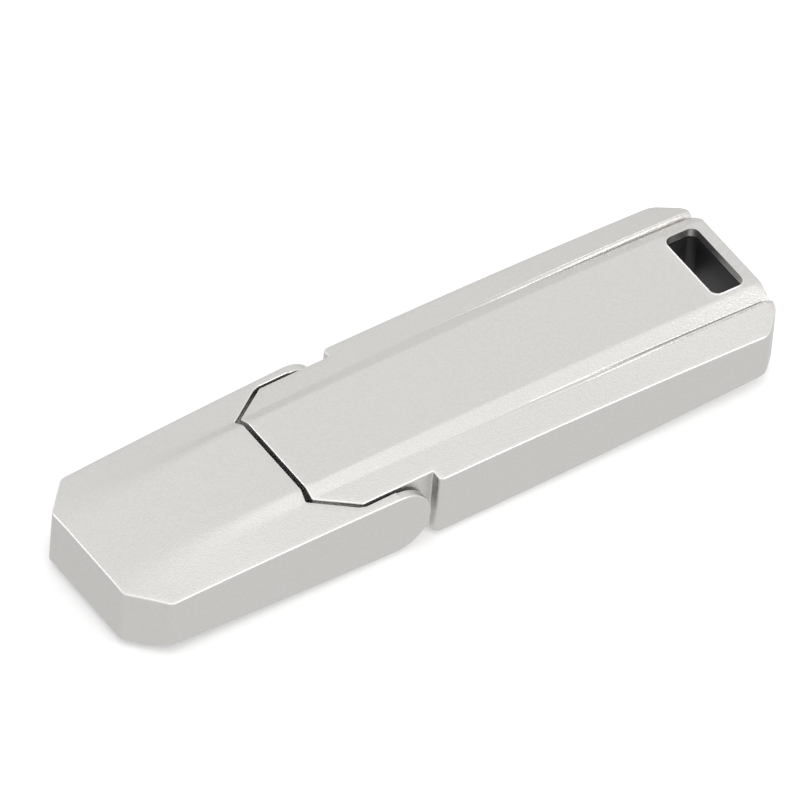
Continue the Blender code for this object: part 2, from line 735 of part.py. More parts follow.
def build():
    clear_scene()
    metal = material("blasted_aluminium", ALUMINIUM, 1.0, 0.38)
    cap_metal = material("cap_aluminium", ALUMINIUM, 1.0, 0.38)
    steel = material("steel", STEEL, 1.0, 0.25)
    plastic = material("black_plastic", BLACK, 0.0, 0.5)

    parts = [painted(make_body_shell(), metal), painted(make_bottom_cover(), metal),
             painted(make_slot_liner(), plastic), painted(make_core_carrier(), plastic),
             painted(make_plug_collar(), plastic), painted(make_plug_shell(), steel)]
    track_floor = (PLUG_Z - PLUG_HEIGHT / 2 + PLUG_WALL + BLOCK_GAP
                   + BLOCK_HEIGHT - TRACK_DEPTH)
    parts.append(painted(make_insulator(track_floor), material("usb_insulator", BLUE, 0.0, 0.4)))
    parts += make_contacts(track_floor, material("contact_gold", GOLD, 1.0, 0.2))
    parts += make_board_parts()
    for word, side in (("near", -1), ("far", 1)):
        parts.append(painted(make_pin("hinge_pin_" + word, side), steel))
        parts.append(painted(make_washer("hinge_washer_" + word, side), plastic))
    for i, spot in enumerate(SCREW_SPOTS, start=1):
        parts.append(painted(make_screw("cover_screw_%d" % i, spot), steel))

    cap_parts = [painted(make_cap_shell(), cap_metal), painted(make_cap_liner(), plastic)]
    pivot = hinge_empty()
    for made in cap_parts:
        hang_on(pivot, made)
    for made in parts + cap_parts:
        named(made, made.name)
        shade(made, math.radians(SMOOTH_ANGLE))


build()
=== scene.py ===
import json
import math

import bmesh
import bpy
import numpy as np
from mathutils import Matrix, Vector
from mathutils.geometry import area_tri, delaunay_2d_cdt


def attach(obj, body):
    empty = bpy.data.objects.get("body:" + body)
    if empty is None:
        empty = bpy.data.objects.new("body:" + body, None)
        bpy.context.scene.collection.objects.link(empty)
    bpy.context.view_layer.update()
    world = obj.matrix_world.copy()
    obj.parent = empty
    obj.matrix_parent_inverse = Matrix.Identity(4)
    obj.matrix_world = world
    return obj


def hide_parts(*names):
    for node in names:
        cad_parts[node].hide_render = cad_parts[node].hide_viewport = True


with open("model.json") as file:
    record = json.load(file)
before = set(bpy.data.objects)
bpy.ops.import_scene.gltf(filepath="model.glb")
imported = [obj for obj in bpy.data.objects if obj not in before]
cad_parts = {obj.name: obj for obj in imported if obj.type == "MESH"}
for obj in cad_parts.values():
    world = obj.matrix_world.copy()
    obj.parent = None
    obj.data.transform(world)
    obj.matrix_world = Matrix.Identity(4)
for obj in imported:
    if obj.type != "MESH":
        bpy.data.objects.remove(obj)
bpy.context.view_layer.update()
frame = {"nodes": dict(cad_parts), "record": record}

MM = 0.001
REST = 3.75              # height of the mid-plane above the floor

# shape of the drive in millimetres from its mid-plane, as in the CAD
END_X = 33.5
CAP_END_X = -33.5
SHOULDER_X = -3.3
TONGUE_TIP_X = -14.2
TONGUE_CORNER_X = -10.55
BODY_HALF = 9.0
TONGUE_HALF = 7.9
TONGUE_TIP_HALF = 5.45
END_CHAMFER_X = 2.2
END_CHAMFER_Y = 2.1
END_CORNER_RADIUS = 1.6
TONGUE_CORNER_RADIUS = 0.3
INNER_CORNER_RADIUS = 0.1
SHOULDER_INSIDE_SHARE = 0.6   # radius at the foot of the shoulder, as a share of the tongue's
SHOULDER_SHARE = 1.6          # the same at its outer corner
TIP_SLANT = 0.52              # how an inset moves the slanted corners at the tongue
END_SLANT = 0.8               # the same at the chamfers of the slot end, as a share of that
SIDE_PEAK = 3.27
SIDE_SAG = 0.00082
SIDE_PEAK_X = -0.9
WALL = 0.9
ROOF_WALL = 0.8
PLATEAU_PEAK = 4.3995
PLATEAU_SAG = 0.00049
PLATEAU_HALF = 4.4
CAP_SAG = 0.00336
VALLEY_Y = 5.8
VALLEY_NARROWS = 0.32
VALLEY_FULL_X = 7.0
FOLLOW_END_Y = 8.0
RIDGE_RUN = 0.25
VALLEY_RISE = 0.6
RIDGE_RISE = 0.42
RIDGE_START_X = 8.0
BELLY_RISE = 0.5
BELLY_HALF = 5.8
CAP_HALF_HINGE = 9.075
CAP_HALF_END = 8.5
CAP_CHAMFER_X = 2.95
CAP_CHAMFER_Y = 3.0
CAP_CORNER_RADIUS = 0.8
CAVITY_SLANT = 0.45
CAVITY_WIDE_X = CAP_END_X + 4.0
CHEEK_INNER = 8.2
NOTCH_GAP = 0.42
NOTCH_DRAFT = 0.3
NOTCH_TIP_SIDE_GAP = -0.06
NOTCH_CORNER_GAP = 0.12
NOTCH_SIDE_GAP = 0.16
NOTCH_CORNER = 0.25
NOTCH_RADIUS = 0.15
NOTCH_EASE = 0.2         # the draft fades out over this distance from the cheeks
HINGE_X = -7.35
CHEEK_RADIUS = 3.24
CHEEK_TIP_TRIM = 0.012   # the cheek stops this far short of the end of its round
BORE_RADIUS = 1.05
BORE_STEPS = 32
BODY_BORE = (6.5, 8.1)   # from and to, along Y
CAP_BORE = (7.9, 8.65)
SLOT_X0 = 28.9
SLOT_X1 = 32.25
SLOT_HALF = 3.9
SLOT_RADIUS = 0.8
WINDOW_HALF = 6.1
WINDOW_Z = (-3.25, 1.45)
WINDOW_X = (TONGUE_TIP_X - 1.0, TONGUE_TIP_X + 3.2)
EDGE = 0.11
PLATEAU_SOFT = 0.12
CREASE_SOFT = 0.05
CREASE_FROM_Y = 5.3
CAP_CREASE_SOFT = 1.1    # extra softness at the free end of the cap
CREASE_SAMPLES = 3       # to each side of a point
FOOT_GROOVE = (5.79, 0.11, 0.2)      # centre, half width and depth of a fine line
LIP_LINE = (6.2, 0.07, 0.09)
LINE_LEAD = 6.0          # the fine lines fade in this far ahead of the ridge

# how finely the shells are cut up
SEAM = 0.01              # smallest height of a wall's row
SLIVER = 5e-6            # smallest area of a triangle
WELD = 2e-7              # in metres, distance at which a shell's points are joined
SPOT_GAP = 1e-7          # distance at which a sheet's points are joined
SAME_SPOT = 1e-6         # neighbours closer than this count as one point of an outline
GRID_GAP = 0.16          # grid points keep this far from an outline
INNER_GRID_GAP = 0.3
BODY_OUTLINE_STEP = 0.45
INNER_OUTLINE_STEP = 0.9
SLOT_OUTLINE_STEP = 0.4
SLOT_ARC_STEPS = 8
CAP_OUTLINE_STEP = 0.16
CAVITY_OUTLINE_STEP = 0.8
BODY_GRID_STEP = 0.9
CAP_GRID_STEP = 0.75
COARSE_GRID_STEP = 2.0
CAP_GRID_END_X = -4.2
CAVITY_GRID_END_X = -10.0
SHARP_ANGLE = 42.0
BATCH = 64               # outline points compared at a time
ROUND_STEPS = [math.radians(a) for a in (0, 30, 60, 90)]

# grid lines across the shells, closest where the creases are
FINE_Y = (0.0, 1.2, 2.4, 3.4, 4.0, 4.18, 4.26, 4.34, 4.42, 4.5, 4.6, 4.9, 5.2, 5.5, 5.62, 5.68,
          5.71, 5.74, 5.77, 5.8, 5.83, 5.86, 5.9, 5.94, 5.98, 6.02, 6.06, 6.1, 6.13, 6.165, 6.2,
          6.235, 6.27, 6.3, 6.4, 6.8, 7.4, 8.0, 8.5, 8.75)
CAP_Y = (0.0, 1.2, 2.4, 3.2, 3.7, 4.0, 4.2, 4.4, 4.6, 4.8, 5.0, 5.25, 5.5, 5.75, 6.0, 6.3, 6.7,
         7.2, 7.7, 8.1, 8.45, 8.65, 8.85)
COARSE_Y = (0.0, 2.2, 4.4, 5.8, 7.0)

# materials
FINE_SHARE = 0.45        # how much of a surface's noise is fine grain
WIDE_SHARE = 0.55
NOISE_RANGE = (0.3, 0.7)
WIDE_DETAIL = 4.0
FINE_DETAIL = 3.0
ROUGHNESS_SPREAD = 0.05
BUMP_DEPTH = 0.00004     # in metres

# camera: angles in degrees, distance and clip in metres, offsets and lens in millimetres
CAMERA_AZIMUTH = -38.28
CAMERA_ELEVATION = 46.49
CAMERA_ROLL = 5.2
CAMERA_DISTANCE = 1.538
CAMERA_LEFT = 0.88
CAMERA_UP = 2.28
CAMERA_LENS = 807.0
CAMERA_SENSOR = 36.0
CAMERA_CLIP = (0.01, 20.0)

# stage, in metres and watts
FLOOR_HALF = 4.0
FLOOR_Z = -1e-5
FLOOR_LEVEL = 0.92
FLOOR_ROUGHNESS = 0.9
FLOOR_GLOW = 0.2
SKY_AXIS = (-0.03, -0.2, 0.98)
SKY_BLUE = 0.995         # blue of the sky as a share of its red and green
SKY_BOTTOM = (0.68, 0.68, 0.67, 1.0)
SKY_TOP = (1.38, 1.38, 1.37, 1.0)
SKY_LEVELS = ((0.09, 0.73), (0.2, 0.88), (0.42, 0.80), (0.65, 0.93), (0.8, 0.93), (0.9, 1.0),
              (0.95, 1.26))
NEAR_STRIP = ((0.25, -0.42, 0.31), (0.16, 0.05), 0.4)     # place, size, power
END_STRIP = ((-0.42, 0.33, 0.24), (0.12, 0.05), 0.25)


def noise(nodes, links, mapping, scale, detail):
    """Noise texture in the object's own coordinates."""
    made = nodes.new("ShaderNodeTexNoise")
    made.inputs["Scale"].default_value = scale
    made.inputs["Detail"].default_value = detail
    links.new(mapping.outputs["Vector"], made.inputs["Vector"])
    return made


def mix_noise(nodes, links, wide, fine):
    """One value from the wide and the fine noise, by their shares."""
    mixed = nodes.new("ShaderNodeMath")
    mixed.operation = "MULTIPLY_ADD"
    mixed.inputs[1].default_value = FINE_SHARE
    links.new(fine.outputs["Fac"], mixed.inputs[0])
    share = nodes.new("ShaderNodeMath")
    share.operation = "MULTIPLY"
    share.inputs[1].default_value = WIDE_SHARE
    links.new(wide.outputs["Fac"], share.inputs[0])
    links.new(share.outputs["Value"], mixed.inputs[2])
    return mixed.outputs["Value"]


def add_tint(nodes, links, shader, mixed, base, mottle):
    """Base colour that wanders by mottle to either side."""
    tint = nodes.new("ShaderNodeValToRGB")
    low, high = tint.color_ramp.elements
    low.position, high.position = NOISE_RANGE
    low.color = (*[max(0.0, c - mottle) for c in base], 1.0)
    high.color = (*[min(1.0, c + mottle) for c in base], 1.0)
    links.new(mixed, tint.inputs["Fac"])
    links.new(tint.outputs["Color"], shader.inputs["Base Color"])


def add_roughness(nodes, links, shader, mixed, roughness):
    """Roughness that wanders with the colour."""
    rough = nodes.new("ShaderNodeMapRange")
    rough.inputs["From Min"].default_value = NOISE_RANGE[0]
    rough.inputs["From Max"].default_value = NOISE_RANGE[1]
    rough.inputs["To Min"].default_value = roughness - ROUGHNESS_SPREAD
    rough.inputs["To Max"].default_value = roughness + ROUGHNESS_SPREAD
    links.new(mixed, rough.inputs["Value"])
    links.new(rough.outputs["Result"], shader.inputs["Roughness"])


def add_bump(nodes, links, shader, fine, grain):
    """Fine grain in the surface's normal."""
    bump = nodes.new("ShaderNodeBump")
    bump.inputs["Strength"].default_value = grain
    bump.inputs["Distance"].default_value = BUMP_DEPTH
    links.new(fine.outputs["Fac"], bump.inputs["Height"])
    links.new(bump.outputs["Normal"], shader.inputs["Normal"])


def node_material(name, base, metallic, roughness, grain, grain_scale=9000.0,
                  mottle=0.02, mottle_scale=120.0, stretch=(1.0, 1.0, 1.0)):
    """Principled material whose colour, roughness and bump all come from noise."""
    made = bpy.data.materials.new(name)
    made.use_nodes = True
    nodes, links = made.node_tree.nodes, made.node_tree.links
    shader = nodes["Principled BSDF"]
    shader.inputs["Metallic"].default_value = metallic
    place = nodes.new("ShaderNodeTexCoord")
    mapping = nodes.new("ShaderNodeMapping")
    mapping.inputs["Scale"].default_value = stretch
    links.new(place.outputs["Object"], mapping.inputs["Vector"])
    wide = noise(nodes, links, mapping, mottle_scale, WIDE_DETAIL)
    fine = noise(nodes, links, mapping, grain_scale, FINE_DETAIL)
    mixed = mix_noise(nodes, links, wide, fine)
    add_tint(nodes, links, shader, mixed, base, mottle)
    add_roughness(nodes, links, shader, mixed, roughness)
    add_bump(nodes, links, shader, fine, grain)
    return made


ALUMINIUM = node_material("blasted_aluminium", (0.703, 0.690, 0.674), 1.0, 0.36, grain=1.0,
                          grain_scale=6500.0, mottle=0.028, mottle_scale=3000.0)
POLISHED = node_material("polished_edge", (0.82, 0.815, 0.805), 1.0, 0.3, grain=0.3)
STEEL = node_material("plug_steel", (0.60, 0.61, 0.63), 1.0, 0.22, grain=0.15,
                      stretch=(0.08, 1.0, 1.0))
PLASTIC = node_material("black_plastic", (0.016, 0.016, 0.018), 0.0, 0.48, grain=0.4,
                        mottle=0.006)
INSULATOR = node_material("insulator", (0.03, 0.10, 0.42), 0.0, 0.35, grain=0.2)
GOLD = node_material("contact_gold", (0.83, 0.60, 0.25), 1.0, 0.18, grain=0.1)
EPOXY = node_material("chip_epoxy", (0.022, 0.022, 0.024), 0.0, 0.55, grain=0.5, mottle=0.008)
BOARD = node_material("solder_mask", (0.01, 0.12, 0.06), 0.0, 0.35, grain=0.2, mottle=0.01)
CERAMIC = node_material("ceramic", (0.42, 0.31, 0.20), 0.0, 0.5, grain=0.3)
PAD = node_material("thermal_pad", (0.32, 0.33, 0.34), 0.0, 0.9, grain=0.8)

LOOK = {"aluminium": ALUMINIUM, "steel": STEEL, "plastic": PLASTIC, "insulator": INSULATOR,
        "gold": GOLD, "epoxy": EPOXY, "board": BOARD, "ceramic": CERAMIC, "pad": PAD}


def blend(value, low, high):
    """Smooth step from 0 at low to 1 at high."""
    t = min(1.0, max(0.0, (value - low) / (high - low)))
    return t * t * (3.0 - 2.0 * t)


def side_height(x):
    return SIDE_PEAK - SIDE_SAG * (x - SIDE_PEAK_X) ** 2


def plateau_height(x):
    if x >= TONGUE_TIP_X:
        return PLATEAU_PEAK - PLATEAU_SAG * x * x
    run = TONGUE_TIP_X - x
    start = PLATEAU_PEAK - PLATEAU_SAG * TONGUE_TIP_X ** 2
    slope = -2.0 * PLATEAU_SAG * TONGUE_TIP_X
    return start - slope * run - CAP_SAG * run * run


def fade_to_free_end(x):
    """1 at the notch, 0 at the free end of the cap."""
    return 1.0 - blend(TONGUE_TIP_X - x, 0.0, TONGUE_TIP_X - CAP_END_X)


def valley_y(x):
    """The strips are narrow on the tongue and widen towards the slot."""
    return VALLEY_Y - VALLEY_NARROWS * (1.0 - blend(x, TONGUE_TIP_X, VALLEY_FULL_X))


def follow(x, y):
    """Moves a grid line so that it keeps to the valley at this station."""
    shift = valley_y(x) - VALLEY_Y
    if y <= VALLEY_Y:
        return y + shift * max(0.0, y - PLATEAU_HALF) / (VALLEY_Y - PLATEAU_HALF)
    return y + shift * max(0.0, FOLLOW_END_Y - y) / (FOLLOW_END_Y - VALLEY_Y)


def roof_points(x, half):
    """Straight-line section of the roof, as (y, height) from the centre outwards."""
    edge = side_height(x)
    top = plateau_height(x)
    valley_at = valley_y(x)
    ridge_at = valley_at + RIDGE_RUN
    plain = edge + (top - edge) * (half - valley_at) / (half - PLATEAU_HALF)
    creased = edge + VALLEY_RISE
    valley = plain + (creased - plain) * fade_to_free_end(x)
    ridge_fall = (valley - edge) * RIDGE_RUN / (half - valley_at)
    ridge = valley - ridge_fall + RIDGE_RISE * blend(x, RIDGE_START_X, END_X)
    return ((0.0, top), (PLATEAU_HALF, top), (valley_at, valley), (ridge_at, ridge), (half, edge))


def on_line(points, y):
    """Height of a straight-line section at y."""
    for (y0, z0), (y1, z1) in zip(points, points[1:]):
        if y <= y1:
            return z0 + (z1 - z0) * (y - y0) / (y1 - y0)
    return points[-1][1]


def roof_height(x, y, half):
    """Roof height with its creases rounded, more softly towards the cap's free end."""
    points = roof_points(x, half)
    soft = PLATEAU_SOFT if abs(y) < CREASE_FROM_Y else CREASE_SOFT
    soft += CAP_CREASE_SOFT * (1.0 - fade_to_free_end(x))
    soft = min(soft, max(0.0, half - abs(y)))
    steps = range(-CREASE_SAMPLES, CREASE_SAMPLES + 1)
    samples = [on_line(points, abs(abs(y) + soft * k / CREASE_SAMPLES)) for k in steps]
    return sum(samples) / len(samples)


def belly_height(x, y, half):
    """Depth of the underside below the mid-plane, flat where the drive rests."""
    rise = BELLY_RISE * min(1.0, (half - abs(y)) / (half - BELLY_HALF))
    return min(REST, side_height(x) + rise)


def cap_half(x):
    share = (x - CAP_END_X) / (HINGE_X - CAP_END_X)
    return CAP_HALF_END + (CAP_HALF_HINGE - CAP_HALF_END) * min(1.0, share)


def cheek_height(x):
    """Half height that the round of the cheeks allows."""
    if x <= HINGE_X:
        return math.inf
    return math.sqrt(max(0.0, CHEEK_RADIUS ** 2 - (x - HINGE_X) ** 2))


def groove(x, y, line):
    """Depth of a fine line that runs beside the ridge and fades in with it."""
    centre, half_width, depth = line
    share = min(1.0, abs(abs(y) - centre) / half_width)
    fade = blend(x, RIDGE_START_X - LINE_LEAD, END_X - LINE_LEAD)
    return depth * (1.0 - share * share) ** 2 * fade


def body_roof(x, y):
    return roof_height(x, y, BODY_HALF) - groove(x, y, FOOT_GROOVE) - groove(x, y, LIP_LINE)


def body_floor(x, y):
    return -belly_height(x, y, BODY_HALF)


def body_ceiling(x, y):
    return body_roof(x, y) - ROOF_WALL


def cap_roof(x, y):
    return min(roof_height(x, y, max(cap_half(x), abs(y))), cheek_height(x))


def cap_floor(x, y):
    return -min(belly_height(x, y, max(cap_half(x), abs(y))), cheek_height(x))


def cap_ceiling(x, y):
    return roof_height(x, y, cap_half(x)) - ROOF_WALL


def corner_arc(here, before, after, radius, steps):
    """Points of the arc that rounds one corner between its two neighbours."""
    back = (before - here) / np.linalg.norm(before - here)
    ahead = (after - here) / np.linalg.norm(after - here)
    half_angle = 0.5 * math.acos(max(-1.0, min(1.0, float(back @ ahead))))
    reach = radius / math.tan(half_angle)
    middle = (back + ahead) / np.linalg.norm(back + ahead)
    centre = here + middle * radius / math.sin(half_angle)
    first = here + back * reach - centre
    last = here + ahead * reach - centre
    start = math.atan2(first[1], first[0])
    turn = math.atan2(last[1], last[0]) - start
    turn = (turn + math.pi) % (2.0 * math.pi) - math.pi
    angles = [start + turn * k / steps for k in range(steps + 1)]
    return [(centre[0] + radius * math.cos(a), centre[1] + radius * math.sin(a)) for a in angles]


def arc_fillet(corners, steps=5):
    """Closed outline from (x, y, radius) corners, each rounded by its own radius."""
    outline = []
    places = [np.array(corner[:2]) for corner in corners]
    for i, (x, y, radius) in enumerate(corners):
        if radius <= 0.0:
            outline.append((x, y))
        else:
            after = places[(i + 1) % len(places)]
            outline += corner_arc(places[i], places[i - 1], after, radius, steps)
    return outline


def subdivide(outline, step, closed=True):
    """Adds points so that no run is longer than step."""
    dense = []
    ends = outline[1:] + outline[:1] if closed else outline[1:]
    for (x0, y0), (x1, y1) in zip(outline, ends):
        parts = max(1, math.ceil(math.hypot(x1 - x0, y1 - y0) / step))
        dense += [(x0 + (x1 - x0) * k / parts, y0 + (y1 - y0) * k / parts) for k in range(parts)]
    if not closed:
        dense.append(outline[-1])
    return dense


def inset(outline, distance):
    """Closed counter-clockwise outline moved inwards by distance."""
    points = np.array(outline)
    before = points - np.roll(points, 1, axis=0)
    after = np.roll(points, -1, axis=0) - points
    before /= np.linalg.norm(before, axis=1, keepdims=True)
    after /= np.linalg.norm(after, axis=1, keepdims=True)
    inward = np.stack((-(before + after)[:, 1], (before + after)[:, 0]), axis=1)
    inward /= np.linalg.norm(inward, axis=1, keepdims=True)
    cosine = np.clip(-before[:, 1] * inward[:, 0] + before[:, 0] * inward[:, 1], 0.5, 1.0)
    return [tuple(p) for p in points + inward * (distance / cosine)[:, None]]


def inside(points, outline):
    """Even-odd test of many points against one outline."""
    x, y = points[:, 0], points[:, 1]
    hit = np.zeros(len(points), dtype=bool)
    for (x0, y0), (x1, y1) in zip(outline, outline[1:] + outline[:1]):
        if y0 != y1:
            crosses = (y0 > y) != (y1 > y)
            hit ^= crosses & (x < (x1 - x0) * (y - y0) / (y1 - y0) + x0)
    return hit


def clear_of(points, outline, distance):
    """Which points lie further than distance from every vertex of the outline."""
    edge = np.array(outline)
    closest = np.full(len(points), math.inf)
    for start in range(0, len(edge), BATCH):
        gap = points[:, None, :] - edge[None, start:start + BATCH, :]
        closest = np.minimum(closest, np.sqrt((gap ** 2).sum(axis=2)).min(axis=1))
    return closest > distance


class Skin:
    """Collects points and faces, in millimetres about the mid-plane, for one closed shell."""

    def __init__(self):
        self.points = []
        self.faces = []
        self.polished = []

    def add(self, points):
        start = len(self.points)
        self.points += points
        return start

    def wall(self, rings, closed=True, bands=()):
        """Quads between rings of equal length; bands numbers the polished ones."""
        starts = [self.add(list(ring)) for ring in rings]
        count = len(rings[0])
        for band, (low, high) in enumerate(zip(starts, starts[1:])):
            for i in range(count if closed else count - 1):
                j = (i + 1) % count
                if band in bands:
                    self.polished.append(len(self.faces))
                self.faces.append((low + i, low + j, high + j, high + i))

    def patch(self, outline, holes, grid, height, gap=GRID_GAP):
        """Triangulated sheet inside an outline, at a height read from a function."""
        spots, edges = [], []
        for loop in [outline] + holes:
            start, count = len(spots), len(loop)
            spots += [tuple(p) for p in loop]
            edges += [(start + i, start + (i + 1) % count) for i in range(count)]
        if grid:
            cells = np.array(grid)
            keep = inside(cells, outline) & clear_of(cells, outline, gap)
            for hole in holes:
                keep &= ~inside(cells, hole) & clear_of(cells, hole, gap)
            spots += [tuple(p) for p in cells[keep]]
        flat, _, faces, _, _, _ = delaunay_2d_cdt([Vector(p) for p in spots], edges, [], 0, SPOT_GAP)
        middles = np.array([[sum(flat[i][k] for i in face) / 3.0 for k in (0, 1)] for face in faces])
        areas = np.array([area_tri(*(flat[i] for i in face)) for face in faces])
        keep = inside(middles, outline) & (areas > SLIVER)
        for hole in holes:
            keep &= ~inside(middles, hole)
        start = self.add([(p.x, p.y, height(p.x, p.y)) for p in flat])
        self.faces += [tuple(start + i for i in face) for face, kept in zip(faces, keep) if kept]

    def build(self, name):
        mesh = bpy.data.meshes.new(name)
        mesh.materials.append(ALUMINIUM)
        mesh.materials.append(POLISHED)
        spots = [(x * MM, y * MM, (z + REST) * MM) for x, y, z in self.points]
        mesh.from_pydata(spots, [], self.faces)
        for face in self.polished:
            mesh.polygons[face].material_index = 1
        work = bmesh.new()
        work.from_mesh(mesh)
        bmesh.ops.remove_doubles(work, verts=work.verts, dist=WELD)
        loose = [v for v in work.verts if not v.link_faces]
        bmesh.ops.delete(work, geom=loose, context="VERTS")
        bmesh.ops.recalc_face_normals(work, faces=work.faces)
        work.to_mesh(mesh)
        work.free()
        made = bpy.data.objects.new(name, mesh)
        bpy.context.scene.collection.objects.link(made)
        return made


def lattice(x_low, x_high, step, ys):
    """Grid points in even steps along X, on lines that follow the creases."""
    count = int((x_high - x_low) / step) + 1
    spots = []
    for i in range(count):
        x = x_low + (x_high - x_low) * i / (count - 1)
        half = [follow(x, y) for y in ys]
        spots += [(x, y) for y in sorted({-y for y in half} | set(half))]
    return spots


def rounded_rings(outline, radius, height, direction=-1.0):
    """Rings that turn from the side wall (first) into the sheet at the given height."""
    rings = []
    for angle in ROUND_STEPS:
        ring = inset(outline, radius * (1.0 - math.cos(angle)))
        drop = radius * (1.0 - math.sin(angle))
        rings.append([(x, y, height(x, y) + direction * drop) for x, y in ring])
    return rings


def at_height(outline, height):
    """The outline as a ring, at a height read from a function."""
    return [(x, y, height(x, y)) for x, y in outline]


def mirrored(half):
    """Counter-clockwise outline from its +Y half, given from -X to +X."""
    return [(x, -y, r) for x, y, r in half] + [(x, y, r) for x, y, r in reversed(half)]


def rounded_slot():
    """Outline of the rounded slot in the roof."""
    corners = ((SLOT_X0, -SLOT_HALF), (SLOT_X1, -SLOT_HALF), (SLOT_X1, SLOT_HALF), (SLOT_X0, SLOT_HALF))
    return subdivide(arc_fillet([(x, y, SLOT_RADIUS) for x, y in corners], SLOT_ARC_STEPS),
                     SLOT_OUTLINE_STEP)


def body_corners(inset_by, radius):
    """Corners of the body's outline, with the slanted ones moved to keep the wall even."""
    slant = inset_by * TIP_SLANT
    end_radius = END_CORNER_RADIUS - inset_by
    return mirrored([
        (TONGUE_TIP_X + inset_by, TONGUE_TIP_HALF - slant, radius),
        (TONGUE_CORNER_X + slant, TONGUE_HALF - inset_by, radius),
        (SHOULDER_X + inset_by, TONGUE_HALF - inset_by, SHOULDER_INSIDE_SHARE * radius),
        (SHOULDER_X + inset_by, BODY_HALF - inset_by, SHOULDER_SHARE * radius),
        (END_X - END_CHAMFER_X - slant * END_SLANT, BODY_HALF - inset_by, end_radius),
        (END_X - inset_by, BODY_HALF - END_CHAMFER_Y - slant * END_SLANT, end_radius)])


def make_body_shell():
    """Hollow body with a rounded slot, open underneath for the cover."""
    skin = Skin()
    outer = subdivide(arc_fillet(body_corners(0.0, TONGUE_CORNER_RADIUS)), BODY_OUTLINE_STEP)
    inner = subdivide(arc_fillet(body_corners(WALL, INNER_CORNER_RADIUS)), INNER_OUTLINE_STEP)
    slot = rounded_slot()
    top = rounded_rings(outer, EDGE, body_roof)
    base = rounded_rings(outer, EDGE, body_floor, 1.0)
    lip = rounded_rings(slot, -EDGE, body_roof)
    upper = [(x, y, z - EDGE) for x, y, z in top[0]]
    lower = [(x, y, z + EDGE) for x, y, z in base[0]]
    skin.wall(top[::-1] + [upper, lower] + base, bands=(0, 1, 2, 6, 7, 8))
    skin.wall(lip[::-1] + [at_height(slot, body_ceiling)], bands=(0, 1, 2))
    fine = lattice(TONGUE_TIP_X, END_X, BODY_GRID_STEP, FINE_Y)
    coarse = lattice(TONGUE_TIP_X, END_X, COARSE_GRID_STEP, COARSE_Y)
    skin.patch(inset(outer, EDGE), [inset(slot, -EDGE)], fine, body_roof)
    skin.patch(inset(outer, EDGE), [inner], [], body_floor)
    skin.wall([at_height(inner, body_floor), at_height(inner, body_ceiling)])
    skin.patch(inner, [slot], coarse, body_ceiling, INNER_GRID_GAP)
    return skin.build("body_casing")


def notch_ease(y):
    """1 across the notch, fading to 0 at the cheeks."""
    return min(1.0, (CHEEK_INNER - abs(y)) / NOTCH_EASE)


def notch_back(x, y, z):
    """Drafted notch wall: the point moves towards the free end as it goes down."""
    return x - NOTCH_DRAFT * (PLATEAU_PEAK - z) * notch_ease(y)


def nearest(outline, spot):
    """Number of the outline's point nearest to a spot."""
    return min(range(len(outline)), key=lambda i: math.dist(outline[i], spot))


def cap_outline():
    """Top outline of the cap, and the numbers of its tip and notch corner points."""
    tip = HINGE_X + CHEEK_RADIUS - CHEEK_TIP_TRIM
    corner_x = TONGUE_CORNER_X - NOTCH_CORNER_GAP
    notch_x = corner_x + NOTCH_CORNER
    corners = [
        (CAP_END_X, -(CAP_HALF_END - CAP_CHAMFER_Y), CAP_CORNER_RADIUS),
        (CAP_END_X + CAP_CHAMFER_X, -cap_half(CAP_END_X + CAP_CHAMFER_X), CAP_CORNER_RADIUS),
        (HINGE_X, -CAP_HALF_HINGE, 0.0),
        (tip, -CAP_HALF_HINGE, 0.0), (tip, -CHEEK_INNER, 0.0), (notch_x, -CHEEK_INNER, 0.0),
        (corner_x, -CHEEK_INNER + NOTCH_SIDE_GAP, 0.0),
        (TONGUE_TIP_X - NOTCH_GAP, -TONGUE_TIP_HALF - NOTCH_TIP_SIDE_GAP, NOTCH_RADIUS),
        (TONGUE_TIP_X - NOTCH_GAP, TONGUE_TIP_HALF + NOTCH_TIP_SIDE_GAP, NOTCH_RADIUS),
        (corner_x, CHEEK_INNER - NOTCH_SIDE_GAP, 0.0),
        (notch_x, CHEEK_INNER, 0.0), (tip, CHEEK_INNER, 0.0), (tip, CAP_HALF_HINGE, 0.0),
        (HINGE_X, CAP_HALF_HINGE, 0.0),
        (CAP_END_X + CAP_CHAMFER_X, cap_half(CAP_END_X + CAP_CHAMFER_X), CAP_CORNER_RADIUS),
        (CAP_END_X, CAP_HALF_END - CAP_CHAMFER_Y, CAP_CORNER_RADIUS)]
    outline = subdivide(arc_fillet(corners), CAP_OUTLINE_STEP)
    marks = [nearest(outline, spot) for spot in ((tip, -CHEEK_INNER), (notch_x, -CHEEK_INNER),
                                                 (notch_x, CHEEK_INNER), (tip, CHEEK_INNER))]
    return outline, marks


def cavity_run(start, end):
    """Inner outline of the cap, from the far notch corner round the free end."""
    slant = WALL * CAVITY_SLANT
    half = [(CAP_END_X + CAP_CHAMFER_X + slant, cap_half(CAVITY_WIDE_X) - WALL),
            (CAP_END_X + WALL, CAP_HALF_END - CAP_CHAMFER_Y - slant)]
    run = [start] + half + [(x, -y) for x, y in reversed(half)] + [end]
    return subdivide(run, CAVITY_OUTLINE_STEP, closed=False)


